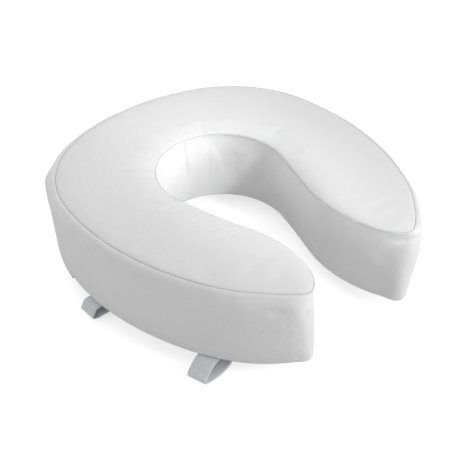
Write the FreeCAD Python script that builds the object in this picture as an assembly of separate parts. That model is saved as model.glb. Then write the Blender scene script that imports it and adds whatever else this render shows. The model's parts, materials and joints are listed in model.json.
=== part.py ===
import FreeCAD, Part
import math
import os

# Raised toilet seat: a horseshoe cushion of thick foam in a sewn vinyl cover.
# Four webbing straps under the arms fold outwards and close on short hook
# straps sewn beside the opening. A zip runs along the back, low on the band.
#
# Frame: millimetres, +Z up. The origin is on the flat underside, in the middle
# of the bridge between the opening and the back edge. +X is the cushion's
# right, +Y is its back, and the two arms point towards -Y. The straps hang
# below z = 0.

Vector = FreeCAD.Vector
UP = Vector(0, 0, 1)

# ---- driving dimensions -------------------------------------------------

HEIGHT = 102.0              # underside to top
BRIDGE = 112.0              # back edge to the opening's back edge, about
BACK_Y = BRIDGE / 2

# Half of the outline, from the middle of the back clockwise round the right
# arm to the middle of the opening's back edge, as tangent arcs: radius, then
# turn in degrees. The closing arc round the opening's back is worked out.
BACK_RADIUS = 267.0
BACK_TURN = 21.5
RIGHT_TURNS = (
    (BACK_RADIUS, BACK_TURN),   # back edge
    (153.0, 58.5),              # rear corner
    (332.0, 40.5),              # side of the arm
    (164.0, 32.5),              # front of the arm
    (12.0, 63.0),               # tip of the arm
    (54.0, 36.5),               # inner side of the tip
    (170.0, 37.5),              # inner side of the arm
)
OPENING_SIDE_RADIUS = 964.0
OPENING_SIDE_TURN = 4.5

COVER = 1.0                 # vinyl with its cloth backing
THREAD = 0.8                # thickness of a sewn seam's line of thread
FOAM_GAP = 0.3              # foam to cover

JOIN_X = 7.0                # the band's two ends meet here, in the opening

ZIP_Z = 14.0                # middle line of the zip
ZIP_SLIT = 0.6              # open line between the two rows of coil
COIL_TALL = 2.8
COIL_DEEP = 1.6
COIL_PROUD = 0.2            # coil beyond the band's outer face
TAPE_TALL = 5.0
TAPE_THICK = 0.8
TAPE_INSET = 0.2
ZIP_HALF_ANGLE = 21.0       # zip, each side of the middle of the back
STRIP_END_Y = BACK_Y - 140.0    # the zip strip is joined to the band here
STRIP_GAP = 0.6             # open line at the strip's end

SLIDER_LONG = 9.0
SLIDER_TALL = 9.6
SLIDER_PLATE = 1.2
SLIDER_CLEAR = 0.4
SLIDER_REST_ANGLE = 18.5    # rest place, from the middle towards the left
PULL_LONG = 13.0
PULL_WIDE = 6.0
PULL_THICK = 1.2
PULL_PIN_RADIUS = 0.6
PULL_EYE_RADIUS = 0.9
PULL_RING_RADIUS = 2.0
PULL_RING_WIDE = 3.2
PULL_GAP = 0.3              # ring to the posts beside it
PULL_LIFT = 0.2             # ring to the slider's front plate
PULL_NECK = 1.5             # ring to the wide part of the tab
PULL_CORNER = 1.2
NECK_GAP = 0.1              # slider's neck to the coils above and below it
BAIL_POST = 0.8
BAIL_TALL = 1.6
LAP = 0.5                   # how far joined shapes run into each other
STOP_LONG = 1.6
STOP_THICK = 0.8
STOP_GAP = 0.2              # coil to stop

STRAP_WIDE = 25.0
STRAP_THICK = 1.6
STRAP_LIFT = 0.2            # strap to underside
DENT_DEEP = 0.4             # shallow dent that a strap lies in
DENT_EXTRA = 2.0            # dent wider than the strap, in all
HOOK_IN = 12.0              # hook strap's sewn end, in from the opening's edge
ANCHOR_IN = 14.0            # sewn end of an outer strap, inwards of the edge
ANCHOR_OUT = 2.6            # and outwards of it
ROOT_HINGE = (3.4, -1.0)    # where an outer strap leaves its sewn end
BELLY_SHARE = 0.2           # the run hangs level from the fold to here,
BELLY_RISE = 0.8            # then rises to its bend and lies along the underside
RUN_BEND = (-14.0, -4.4)
RUN_END_Z = -3.6
RUN_LONG = 90.0             # from the fold to the strap's free end
HINGE_GAP = 0.9
FOLD_GAP = 3.6
HOOK_SEWN = 8.0             # sewn end of a hook strap
HOOK_HINGE_GAP = 0.5
HOOK_LONG = 44.0            # free part of a hook strap
STITCH_WIDE = 20.0
STITCH_ROWS = 2
STITCH_PITCH = 5.0
STITCH_THICK = 0.5
STITCH_IN = 1.5             # first row, from the strap's sewn end
CHORD_OUT = 60.0            # a line this far out of a station, and this long,
CHORD_LONG = 260.0          # crosses the whole arm
DENT_PAST = 20.0            # a dent's cutting shape runs past the arm by this

# A strap station: a point on the strap's middle line, the way the strap
# leaves the left arm, in degrees from +X, and the place, as (out, z), where
# it folds back under the cushion. The right arm mirrors the left.
STATIONS = {
    "rear": ((-190.0, BACK_Y - 193.0), 180.0, (12.5, -11.0)),
    "front": ((-150.0, BACK_Y - 349.0), 195.0, (23.5, -14.0)),
}

os.makedirs("parts", exist_ok=True)


def save(name, shape):
    shape.exportStep("parts/" + name + ".step")


# ---- outline ------------------------------------------------------------

def arc_edge(start, heading, radius, turn):
    """An arc that leaves start along heading and turns by turn, in degrees;
    a negative turn is clockwise. Returns the edge and where it ends."""
    side = math.copysign(1.0, turn)
    a = math.radians(heading)
    centre = start + Vector(-math.sin(a), math.cos(a), 0) * (side * radius)

    def point(angle):
        b = math.radians(heading + angle)
        return centre + Vector(math.sin(b), -math.cos(b), 0) * (side * radius)

    edge = Part.Arc(start, point(turn / 2.0), point(turn)).toShape()
    return edge, point(turn)


def half_outline(offset):
    """Edges of the right half of the outline, moved outwards by offset."""
    point = Vector(0, BACK_Y + offset, 0)
    heading = 0.0
    edges = []
    for radius, turn in RIGHT_TURNS:
        edge, point = arc_edge(point, heading, radius + offset, -turn)
        edges.append(edge)
        heading -= turn
    edge, point = arc_edge(point, heading, OPENING_SIDE_RADIUS - offset, OPENING_SIDE_TURN)
    edges.append(edge)
    heading += OPENING_SIDE_TURN
    # The closing arc is centred on x = 0, so that both halves meet smoothly.
    closing_radius = point.x / math.sin(math.radians(heading))
    edge, point = arc_edge(point, heading, closing_radius, 180.0 - heading % 360.0)
    edges.append(edge)
    return edges


def outline_face(offset, z):
    """The whole horseshoe as a flat face at height z."""
    right = half_outline(offset)
    left = [edge.mirror(Vector(0, 0, 0), Vector(1, 0, 0)) for edge in right]
    wire = Part.Wire(Part.__sortEdges__(right + left))
    face = Part.Face(wire)
    face.translate(Vector(0, 0, z))
    return face


def slab(offset, z_low, z_high):
    return outline_face(offset, z_low).extrude(Vector(0, 0, z_high - z_low))


def wall(z_low, z_high, thickness):
    """A ring of the given thickness just inside the outline."""
    return slab(0, z_low, z_high).cut(slab(-thickness, z_low, z_high))


def box(x_low, x_high, y_low, y_high, z_low, z_high):
    size = (x_high - x_low, y_high - y_low, z_high - z_low)
    return Part.makeBox(*size, Vector(x_low, y_low, z_low))


# ---- shapes that follow the circular back edge --------------------------

BACK_CENTRE_Y = BACK_Y - BACK_RADIUS


def sector(r_low, r_high, z_low, z_high, angle_low, angle_high):
    """A ring sector about the back edge's centre. Radii are relative to the
    band's outer face; angles run clockwise from the middle of the back."""
    tall = z_high - z_low
    sweep = angle_high - angle_low
    base = Vector(0, BACK_CENTRE_Y, z_low)
    outer = Part.makeCylinder(BACK_RADIUS + r_high, tall, base, UP, sweep)
    inner = Part.makeCylinder(BACK_RADIUS + r_low, tall, base, UP, sweep)
    shape = outer.cut(inner)
    shape.rotate(base, UP, 90.0 - angle_high)
    return shape


def arc_angle(length):
    """The angle that a length along the band's outer face covers."""
    return math.degrees(length / BACK_RADIUS)


def turned(shape, angle):
    """Turns a shape built at the middle of the back clockwise by angle."""
    shape.rotate(Vector(0, BACK_CENTRE_Y, 0), UP, -angle)
    return shape


# ---- cushion ------------------------------------------------------------

SEAM_LOW = COVER
SEAM_HIGH = HEIGHT - COVER
BAND_LOW = SEAM_LOW + THREAD
BAND_HIGH = SEAM_HIGH - THREAD
COIL_LOW = ZIP_Z - ZIP_SLIT / 2 - COIL_TALL
COIL_HIGH = ZIP_Z + ZIP_SLIT / 2 + COIL_TALL
SLOT_LOW = COIL_LOW - TAPE_TALL
SLOT_HIGH = COIL_HIGH + TAPE_TALL
FOAM_RECESS = 3.8           # behind the zip, from the band's outer face
RECESS_ROOM = 1.0           # that recess is taller and wider than the zip by this
PAST = 5.0                  # how far a cutting shape runs past what it cuts
FAR = 400.0                 # past the whole cushion
OPENING_ROOM = 110.0        # half the width of a box that holds the opening


def foam_core():
    inset = COVER + FOAM_GAP
    foam = slab(-inset, inset, HEIGHT - inset)
    low, high = SLOT_LOW - RECESS_ROOM, SLOT_HIGH + RECESS_ROOM
    half = ZIP_HALF_ANGLE + arc_angle(RECESS_ROOM)
    return foam.cut(sector(-FOAM_RECESS, PAST, low, high, -half, half))


def strip_space(z_high):
    """The outer wall's low rear part, back of the strip's two ends."""
    rear = box(-FAR, FAR, STRIP_END_Y, FAR, BAND_LOW, z_high)
    opening = box(-OPENING_ROOM, OPENING_ROOM, STRIP_END_Y - PAST, 0, BAND_LOW, z_high)
    return rear.cut(opening)


def side_band():
    band = wall(BAND_LOW, BAND_HIGH, COVER)
    band = band.cut(strip_space(SLOT_LOW))
    band = band.cut(sector(-PAST, PAST, SLOT_LOW, SLOT_HIGH, -ZIP_HALF_ANGLE, ZIP_HALF_ANGLE))
    return band.cut(join_slot())


def join_slot():
    """The gap between the band's two ends, at the opening's back."""
    half = THREAD / 2
    return box(JOIN_X - half, JOIN_X + half, -BACK_Y - PAST, -BACK_Y + PAST, BAND_LOW, BAND_HIGH)


def zip_strip():
    strip = wall(BAND_LOW, SLOT_LOW, COVER).common(strip_space(SLOT_LOW))
    ends = box(-FAR, FAR, STRIP_END_Y, STRIP_END_Y + STRIP_GAP, 0, HEIGHT)
    return strip.cut(ends)


def bottom_panel():
    panel = slab(0, 0, COVER)
    for station in all_stations():
        panel = panel.cut(station.dent())
    return panel


# ---- zip ----------------------------------------------------------------

def zip_tape(z_low):
    span = ZIP_HALF_ANGLE
    return sector(-TAPE_INSET - TAPE_THICK, -TAPE_INSET, z_low, z_low + TAPE_TALL, -span, span)


def zip_coil(z_low):
    span = ZIP_HALF_ANGLE - arc_angle(2 * STOP_LONG)
    return sector(COIL_PROUD - COIL_DEEP, COIL_PROUD, z_low, z_low + COIL_TALL, -span, span)


def zip_stops():
    """A small metal stop across the two coils at each end of the zip."""
    outer = ZIP_HALF_ANGLE - arc_angle(0.5 * STOP_LONG)
    inner = outer - arc_angle(STOP_LONG - STOP_GAP)
    stop = sector(-TAPE_INSET, STOP_THICK, COIL_LOW, COIL_HIGH, inner, outer)
    other = sector(-TAPE_INSET, STOP_THICK, COIL_LOW, COIL_HIGH, -outer, -inner)
    return Part.makeCompound([stop, other])


PIN_RADIAL = COIL_PROUD + SLIDER_CLEAR + SLIDER_PLATE + PULL_RING_RADIUS + PULL_LIFT


def pin_centre(y_out, x=0.0):
    """A point at the middle of the back, y_out beyond the band."""
    return Vector(x, BACK_Y + y_out, ZIP_Z)


def zip_slider():
    """Front and back plates joined by a neck in the slit between the coils,
    with two posts and a pin that hold the pull tab."""
    half = arc_angle(SLIDER_LONG / 2)
    low = ZIP_Z - SLIDER_TALL / 2
    high = ZIP_Z + SLIDER_TALL / 2
    front_in = COIL_PROUD + SLIDER_CLEAR
    back_out = COIL_PROUD - COIL_DEEP - SLIDER_CLEAR
    front = sector(front_in, front_in + SLIDER_PLATE, low, high, -half, half)
    back = sector(back_out - SLIDER_PLATE, back_out, low, high, -half, half)
    neck_half = ZIP_SLIT / 2 - NECK_GAP
    neck_low, neck_high = ZIP_Z - neck_half, ZIP_Z + neck_half
    neck = sector(back_out - LAP, front_in + LAP, neck_low, neck_high, -half / 2, half / 2)
    post_x = PULL_RING_WIDE / 2 + PULL_GAP
    pin_end = pin_centre(PIN_RADIAL, -post_x - BAIL_POST / 2)
    pin = Part.makeCylinder(PULL_PIN_RADIUS, 2 * post_x + BAIL_POST, pin_end, Vector(1, 0, 0))
    shape = front.fuse([back, neck, pin])
    post_root = BACK_Y + front_in + SLIDER_PLATE / 2
    post_tip = BACK_Y + PIN_RADIAL + PULL_PIN_RADIUS
    post_low, post_high = ZIP_Z - BAIL_TALL / 2, ZIP_Z + BAIL_TALL / 2
    for side in (-1, 1):
        x = side * (post_x + BAIL_POST / 2)
        post = box(x - BAIL_POST / 2, x + BAIL_POST / 2, post_root, post_tip, post_low, post_high)
        shape = shape.fuse(post)
    return turned(shape.removeSplitter(), -SLIDER_REST_ANGLE)


def zip_pull():
    """A flat tab that hangs from a ring round the slider's pin."""
    centre = pin_centre(PIN_RADIAL, -PULL_RING_WIDE / 2)
    ring = Part.makeCylinder(PULL_RING_RADIUS, PULL_RING_WIDE, centre, Vector(1, 0, 0))
    y_low = BACK_Y + PIN_RADIAL - PULL_THICK / 2
    y_high = y_low + PULL_THICK
    ring_low = ZIP_Z - PULL_RING_RADIUS
    blade_high = ring_low - PULL_NECK
    half = PULL_RING_WIDE / 2
    neck = box(-half, half, y_low, y_high, blade_high - LAP, ring_low + LAP)
    half = PULL_WIDE / 2
    blade = box(-half, half, y_low, y_high, ZIP_Z - PULL_LONG, blade_high)
    upright = [edge for edge in blade.Edges if abs(edge.tangentAt(edge.FirstParameter).y) > 0.9]
    blade = blade.makeFillet(PULL_CORNER, upright)
    eye = Part.makeCylinder(PULL_EYE_RADIUS, PULL_RING_WIDE, centre, Vector(1, 0, 0))
    shape = ring.fuse([neck, blade]).cut(eye)
    return turned(shape.removeSplitter(), -SLIDER_REST_ANGLE)


# ---- straps -------------------------------------------------------------

class Station:
    """One strap place under an arm. Distances out run from the cushion's
    outer edge along the strap, and are negative under the cushion."""

    def __init__(self, point, degrees, fold):
        a = math.radians(degrees)
        self.out = Vector(math.cos(a), math.sin(a), 0)
        self.across = Vector(-math.sin(a), math.cos(a), 0)
        self.fold = fold
        outside = Vector(point[0], point[1], 0) + self.out * CHORD_OUT
        line = Part.makeLine(outside, outside - self.out * CHORD_LONG)
        chord = outline_face(0, 0).common(line)
        ends = sorted(chord.Vertexes, key=lambda v: v.Point.distanceToPoint(outside))
        self.edge = ends[0].Point
        self.arm_wide = self.edge.distanceToPoint(ends[1].Point)

    def point(self, out, z):
        return self.edge + self.out * out + Vector(0, 0, z)

    def prism(self, outline, wide):
        """Extrudes an outline of (out, z) points across the strap."""
        shift = self.across * (-wide / 2)
        points = [self.point(out, z) + shift for out, z in outline]
        face = Part.Face(Part.makePolygon(points + points[:1]))
        return face.extrude(self.across * wide)

    def flat(self, out_low, out_high, z_low, z_high, wide=STRAP_WIDE):
        outline = ((out_low, z_low), (out_high, z_low), (out_high, z_high), (out_low, z_high))
        return self.prism(outline, wide)

    def ribbon(self, path):
        """A strap bent along a path of (out, z) points."""
        high = side_points(path, STRAP_THICK / 2)
        low = side_points(path, -STRAP_THICK / 2)
        return self.prism(high + low[::-1], STRAP_WIDE)

    def dent(self):
        wide = STRAP_WIDE + DENT_EXTRA
        return self.flat(-self.arm_wide - DENT_PAST, DENT_PAST, -COVER, DENT_DEEP, wide)

    def anchor(self):
        return self.flat(-ANCHOR_IN, ANCHOR_OUT, -STRAP_LIFT - STRAP_THICK, -STRAP_LIFT)

    def root(self):
        start = along(ROOT_HINGE, self.fold, HINGE_GAP)
        end = along(self.fold, ROOT_HINGE, FOLD_GAP)
        return self.ribbon((start, end))

    def run(self):
        """The free run, from the fold back under the cushion."""
        belly = (self.fold[0] * BELLY_SHARE, self.fold[1] + BELLY_RISE)
        end = (self.fold[0] - RUN_LONG, RUN_END_Z)
        return self.ribbon((self.fold, belly, RUN_BEND, end))

    def hook_root(self):
        """Distance out of the hook strap's hinge line."""
        return -self.arm_wide + HOOK_IN + HOOK_SEWN + HOOK_HINGE_GAP

    def hook_anchor(self):
        low = -self.arm_wide + HOOK_IN
        return self.flat(low, low + HOOK_SEWN, -STRAP_LIFT - STRAP_THICK, -STRAP_LIFT)

    def hook_flap(self):
        low = self.hook_root() + HINGE_GAP
        return self.flat(low, low + HOOK_LONG, -STRAP_LIFT - STRAP_THICK, -STRAP_LIFT)

    def stitches(self, first_out):
        """Rows of thread across a sewn end, just under it."""
        high = -STRAP_LIFT - STRAP_THICK
        rows = []
        for row in range(STITCH_ROWS):
            out = first_out + row * STITCH_PITCH
            rows.append(self.flat(out, out + STITCH_THICK, high - STITCH_THICK, high, STITCH_WIDE))
        return rows


def side_points(path, distance):
    """A path of (out, z) points moved sideways, with its bends mitred."""
    headings = [math.atan2(b[1] - a[1], b[0] - a[0]) for a, b in zip(path, path[1:])]
    moved = []
    for (out, z), before, after in zip(path, headings[:1] + headings, headings + headings[-1:]):
        middle = (before + after) / 2
        reach = distance / math.cos((after - before) / 2)
        moved.append((out - reach * math.sin(middle), z + reach * math.cos(middle)))
    return moved


def along(start, end, distance):
    """The point at a distance from start towards end."""
    share = distance / math.dist(start, end)
    return tuple(a + (b - a) * share for a, b in zip(start, end))


def station(place, side):
    (x, y), degrees, fold = STATIONS[place]
    if side == "right":
        return Station((-x, y), 180.0 - degrees, fold)
    return Station((x, y), degrees, fold)


def all_stations():
    return [station(place, side) for place in STATIONS for side in ("left", "right")]


def save_straps():
    outer_stitches = []
    hook_stitches = []
    for place in STATIONS:
        for side in ("left", "right"):
            here = station(place, side)
            name = place + "_" + side + "_"
            save(name + "strap_sewn_end", here.anchor())
            save(name + "strap_root", here.root())
            save(name + "strap_run", here.run())
            save(name + "hook_strap_sewn_end", here.hook_anchor())
            save(name + "hook_strap", here.hook_flap())
            outer_stitches += here.stitches(-ANCHOR_IN + STITCH_IN)
            hook_stitches += here.stitches(-here.arm_wide + HOOK_IN + STITCH_IN)
    save("strap_stitches", Part.makeCompound(outer_stitches))
    save("hook_strap_stitches", Part.makeCompound(hook_stitches))


# ---- write every sub-part -----------------------------------------------

save("foam_core", foam_core())
save("top_panel", slab(0, SEAM_HIGH, HEIGHT))
save("bottom_panel", bottom_panel())
save("side_band", side_band())
save("zip_strip", zip_strip())
save("top_seam_thread", wall(BAND_HIGH, SEAM_HIGH, THREAD))
save("bottom_seam_thread", wall(SEAM_LOW, BAND_LOW, THREAD))
save("band_join_thread", wall(BAND_LOW, BAND_HIGH, THREAD).common(join_slot()))
save("upper_zip_tape", zip_tape(COIL_HIGH))
save("lower_zip_tape", zip_tape(SLOT_LOW))
save("upper_zip_coil", zip_coil(COIL_HIGH - COIL_TALL))
save("lower_zip_coil", zip_coil(COIL_LOW))
save("zip_stops", zip_stops())
save("zip_slider", zip_slider())
save("zip_pull", zip_pull())
save_straps()
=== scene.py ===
import json
import math

import bpy
import numpy as np
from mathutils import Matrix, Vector, noise
from mathutils.geometry import delaunay_2d_cdt
from mathutils.kdtree import KDTree


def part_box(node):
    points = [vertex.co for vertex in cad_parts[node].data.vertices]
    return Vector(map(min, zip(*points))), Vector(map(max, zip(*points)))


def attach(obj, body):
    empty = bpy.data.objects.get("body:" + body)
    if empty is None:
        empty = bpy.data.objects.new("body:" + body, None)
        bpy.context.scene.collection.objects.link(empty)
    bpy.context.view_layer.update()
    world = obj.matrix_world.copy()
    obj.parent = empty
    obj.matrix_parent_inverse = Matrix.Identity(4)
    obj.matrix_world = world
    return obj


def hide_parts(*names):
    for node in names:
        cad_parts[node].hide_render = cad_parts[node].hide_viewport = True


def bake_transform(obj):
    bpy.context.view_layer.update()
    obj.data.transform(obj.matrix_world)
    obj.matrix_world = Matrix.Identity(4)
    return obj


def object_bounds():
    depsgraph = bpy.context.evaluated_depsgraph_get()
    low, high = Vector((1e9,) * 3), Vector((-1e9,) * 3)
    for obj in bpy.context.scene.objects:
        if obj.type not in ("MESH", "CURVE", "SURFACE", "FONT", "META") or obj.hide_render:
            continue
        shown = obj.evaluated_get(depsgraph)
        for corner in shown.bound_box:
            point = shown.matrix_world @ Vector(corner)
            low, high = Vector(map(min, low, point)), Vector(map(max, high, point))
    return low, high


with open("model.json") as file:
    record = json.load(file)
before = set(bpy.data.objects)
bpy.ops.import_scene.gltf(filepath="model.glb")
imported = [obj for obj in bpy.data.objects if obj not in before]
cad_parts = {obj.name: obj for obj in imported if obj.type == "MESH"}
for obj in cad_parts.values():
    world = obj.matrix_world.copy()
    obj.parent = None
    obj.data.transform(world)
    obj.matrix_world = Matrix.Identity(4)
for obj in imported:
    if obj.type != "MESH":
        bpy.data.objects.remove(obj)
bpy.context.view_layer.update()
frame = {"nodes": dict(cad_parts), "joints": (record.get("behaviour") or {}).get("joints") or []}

# Lengths are in metres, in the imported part's own frame: the origin is on the
# flat underside, +Z up, and the arms of the horseshoe point towards -Y.

MM = 0.001
TOP_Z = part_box("top_panel")[1].z
BACK_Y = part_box("top_panel")[1].y
SLOT_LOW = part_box("lower_zip_tape")[0].z
SLOT_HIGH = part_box("upper_zip_tape")[1].z
STRIP_END_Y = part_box("zip_strip")[0].y
JOIN_LOW, JOIN_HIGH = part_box("band_join_thread")
JOINTS = {joint["name"]: joint for joint in frame["joints"]}
BACK_CENTRE_Y = JOINTS["zip_run"]["pos_m"][1]

SHEET = 0.9 * MM            # vinyl with its cloth backing
SAMPLES = 1100              # places round the outline

SEAM_INSET = 5.5 * MM       # top seam inside the outline, on the outer side
SEAM_DROP = 2.8 * MM        # top seam below the top, on the outer side
OPENING_DROP = 4.0 * MM     # and round the opening
SHOULDER_TALL = 15 * MM     # the band's soft shoulder under the top seam
TIP_SHOULDER = 9 * MM       # and so much taller near the tips
BULGE_HIGH = 10.5 * MM      # band beyond the seam, under the shoulder
BULGE_LOW = 4.6 * MM        # and at the bottom
OPENING_BULGE = 0.8 * MM
TIP_FADE = 60 * MM          # the seam's inset dies away over this length at a tip
TIP_BULGE = 5.0 * MM        # the band spreads at the foot of a tip
TIP_PINCH = 2.4 * MM        # and is drawn in under the seam there
CORNER_FULL = 6.0 * MM      # extra fullness high on the rear left corner
CORNER_HOLLOW = 3.0 * MM    # under which the corner is flatter
OPENING_LEAN = 3.0 * MM     # the opening is wider at its foot
ARM_EASE = 4.0 * MM         # the left arm's inner side is flatter than the right's
SOFT_DROP = 5.0 * MM        # seam lower still on the right arm's soft inner side
GROOVE_DEEP = 0.7 * MM
GROOVE_HALF = 0.9 * MM
TURN_IN = 1.4 * MM          # sewn edges turn in under the seam by this
JOIN_LEAN = 7 * MM          # the band's join leans by this over its height
PUCKER_LONG = 2.6 * MM      # radians of the puckers along the top seam
HEM_DROOP = 3.6 * MM        # the zip strip hangs lower near its two ends
HEM_RISE = 3.2 * MM         # and the band's hem is drawn up just beyond them
STRIP_GAP = 2.0 * MM


# ---- meshes -------------------------------------------------------------

def make_object(name, points, faces):
    mesh = bpy.data.meshes.new(name)
    mesh.from_pydata([tuple(p) for p in points], [], [tuple(f) for f in faces])
    mesh.validate()
    mesh.update()
    obj = bpy.data.objects.new(name, mesh)
    bpy.context.scene.collection.objects.link(obj)
    mesh.polygons.foreach_set("use_smooth", [True] * len(mesh.polygons))
    return obj


def used_only(points, faces):
    """The points that some face uses, with the faces renumbered."""
    faces = [list(f) for f in faces]
    used = sorted({i for f in faces for i in f})
    renumber = {old: new for new, old in enumerate(used)}
    return np.asarray(points)[used], [[renumber[i] for i in f] for f in faces]


def thicken(obj, thickness, offset=-1.0):
    """Closes a sheet into a thin solid; offset -1 puts the thickness inside."""
    solid = obj.modifiers.new("sheet", "SOLIDIFY")
    solid.thickness = thickness
    solid.offset = offset
    solid.use_even_offset = False
    return obj


def smoothstep(x):
    x = np.clip(x, 0.0, 1.0)
    return x * x * (3.0 - 2.0 * x)


# ---- the outline, read from the frame -----------------------------------

def panel_border(node):
    """The corner points round a flat panel's upper face, in order."""
    mesh = frame["nodes"][node].data
    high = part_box(node)[1].z
    seen = {}
    for face in mesh.polygons:
        corners = [mesh.vertices[i].co for i in face.vertices]
        if min(c.z for c in corners) < high - 1e-5:
            continue
        keys = [(round(c.x, 6), round(c.y, 6)) for c in corners]
        for a, b in zip(keys, keys[1:] + keys[:1]):
            seen[frozenset((a, b))] = seen.get(frozenset((a, b)), 0) + 1
    links = {}
    for edge, count in seen.items():
        if count == 1 and len(edge) == 2:
            a, b = edge
            links.setdefault(a, []).append(b)
            links.setdefault(b, []).append(a)
    start = max(links, key=lambda p: p[1])
    path = [start]
    previous, here = None, start
    while True:
        step = [p for p in links[here] if p != previous]
        previous, here = here, step[0]
        if here == start:
            return np.array(path)
        path.append(here)


def resample(points, count):
    """A smooth closed curve through points, at equal steps of length."""
    before, after = np.roll(points, 1, axis=0), np.roll(points, -1, axis=0)
    beyond = np.roll(points, -2, axis=0)
    t = np.linspace(0, 1, 40, endpoint=False)[None, :, None]
    step = np.linalg.norm(after - points, axis=1)[:, None]
    step_before = np.roll(step, 1, axis=0)
    step_after = np.roll(step, -1, axis=0)
    leave = (after - before) / (step + step_before) * step
    arrive = (beyond - points) / (step + step_after) * step
    dense = (
        (2 * t ** 3 - 3 * t ** 2 + 1) * points[:, None]
        + (t ** 3 - 2 * t ** 2 + t) * leave[:, None]
        + (3 * t ** 2 - 2 * t ** 3) * after[:, None]
        + (t ** 3 - t ** 2) * arrive[:, None]
    ).reshape(-1, 2)
    closed = np.vstack([dense, dense[:1]])
    length = np.concatenate([[0], np.cumsum(np.linalg.norm(np.diff(closed, axis=0), axis=1))])
    places = np.linspace(0, length[-1], count, endpoint=False)
    curve = np.column_stack([np.interp(places, length, closed[:, i]) for i in (0, 1)])
    return curve, length[-1] / count


def soften(values, reach):
    """Moving average round the loop, twice, over 2 * reach + 1 samples."""
    for _ in range(2):
        total = sum(np.roll(values, k, axis=0) for k in range(-reach, reach + 1))
        values = total / (2 * reach + 1)
    return values


def outward(curve):
    """Unit normals of a closed curve that runs clockwise seen from above."""
    tangent = np.roll(curve, -1, axis=0) - np.roll(curve, 1, axis=0)
    tangent /= np.linalg.norm(tangent, axis=1)[:, None]
    return np.column_stack([-tangent[:, 1], tangent[:, 0]])


LEFT_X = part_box("top_panel")[0].x
FRONT_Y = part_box("top_panel")[0].y
REAR_LEFT_CORNER = (LEFT_X * 0.84, BACK_Y * -0.10)
EASED_PLACE = (LEFT_X * 0.26, FRONT_Y * 0.62)
SOFT_PLACE = (LEFT_X * -0.33, FRONT_Y * 0.52)


class Outline:
    """The cushion's outline and top seam, with what varies round them."""

    def __init__(self):
        border = panel_border("top_panel")
        if self.area(border) > 0:
            border = border[::-1]
        curve, self.step = resample(border, SAMPLES)
        curve = soften(curve, 1)
        first = int(np.argmax(curve[:, 1] - np.abs(curve[:, 0])))
        self.wall = np.roll(curve, -first, axis=0)
        self.wall = self.eased(self.wall)
        half = SAMPLES // 2
        self.tip = int(np.argmin(self.wall[:half, 1]))
        place = np.arange(SAMPLES)
        mirrored = np.minimum(place, SAMPLES - place)
        self.past_tip = (self.tip - mirrored) * self.step
        self.outer = smoothstep(0.5 + self.past_tip / (36 * MM))
        inset = soften(SEAM_INSET * smoothstep(self.past_tip / TIP_FADE), 4)
        self.full = smoothstep(0.62 + self.past_tip / (30 * MM))
        self.at_tip = np.exp(-((self.past_tip + 8 * MM) / (14 * MM)) ** 2)
        corner = self.wall - np.array(REAR_LEFT_CORNER)
        self.at_corner = np.exp(-np.linalg.norm(corner, axis=1) / (20 * MM))
        self.seam = self.wall - outward(self.wall) * inset[:, None]
        self.inset = inset
        self.normal = outward(self.seam)
        gap = self.wall - np.array(SOFT_PLACE)
        self.soft = np.exp(-(gap ** 2).sum(axis=1) / (80 * MM) ** 2) * (1 - self.outer)
        drop = OPENING_DROP + (SEAM_DROP - OPENING_DROP) * self.outer + SOFT_DROP * self.soft
        self.seam_z = TOP_Z - soften(drop, 6)
        angle = np.arctan2(self.wall[:, 0], self.wall[:, 1] - BACK_CENTRE_Y)
        self.back_angle = np.where(self.outer > 0.5, np.degrees(angle), 180.0)
        self.zip_half = math.degrees(
            math.asin(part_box("lower_zip_tape")[1].x / (BACK_Y - BACK_CENTRE_Y))
        )
        past_zip = np.abs(self.back_angle) - self.zip_half
        self.near_zip = 1.0 - smoothstep(past_zip / 14.0)

    @staticmethod
    def eased(wall):
        """The outline with the left arm's inner side set back a little."""
        gap = wall - np.array(EASED_PLACE)
        near = np.exp(-(gap ** 2).sum(axis=1) / (48 * MM) ** 2)
        return wall - outward(wall) * (ARM_EASE * near)[:, None]

    @staticmethod
    def area(points):
        x, y = points[:, 0], points[:, 1]
        return 0.5 * float(np.sum(x * np.roll(y, -1) - y * np.roll(x, -1)))

    def band_offset(self, z):
        """How far the band stands beyond the seam at height z."""
        share = z / TOP_Z
        low = BULGE_LOW * smoothstep(self.past_tip / TIP_FADE)
        bulge = low + (BULGE_HIGH - low) * share ** 0.6
        high = np.exp(-((z - 0.87 * TOP_Z) / (16 * MM)) ** 2)
        hollow = np.exp(-((z - 0.42 * TOP_Z) / (28 * MM)) ** 2)
        bulge = bulge + self.at_corner * (CORNER_FULL * high - CORNER_HOLLOW * hollow)
        tall = SHOULDER_TALL + TIP_SHOULDER * np.exp(-((self.past_tip - 120 * MM) / (50 * MM)) ** 2)
        up = np.clip((z - (self.seam_z - tall)) / tall, 0, 1)
        shoulder = (1.0 - up ** 2.4) ** (1 / 1.9)
        foot = TIP_BULGE * self.at_tip * (1 - share) ** 0.7
        outer = bulge * self.full * shoulder + foot
        flat = smoothstep((SLOT_HIGH + 22 * MM - z) / (20 * MM)) * self.near_zip
        outer = outer * (1 - flat) + self.inset * flat
        small_up = np.clip((z - (self.seam_z - 5 * MM)) / (5 * MM), 0, 1)
        lean = OPENING_LEAN * (1 - share) ** 1.5 * (1 - self.at_tip)
        inner = OPENING_BULGE * np.sin(np.pi * share) * (1 - small_up ** 2) - lean
        pinch = TIP_PINCH * self.at_tip * np.exp(-((z - (self.seam_z - 11 * MM)) / (5 * MM)) ** 2)
        tuck = pinch + 1.1 * MM * np.exp(-(z / (1.6 * MM)) ** 2) * (1 - self.near_zip)
        return outer * self.outer + inner * (1 - self.outer) + foot * (1 - self.outer) - tuck


outline = Outline()


def bumps(x, y, z, size, seed):
    """Smooth seeded noise, about -1 to 1, with lumps of the given size."""
    return noise.noise(Vector((x / size + seed, y / size - 2 * seed, z / size + 3 * seed)))


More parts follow.
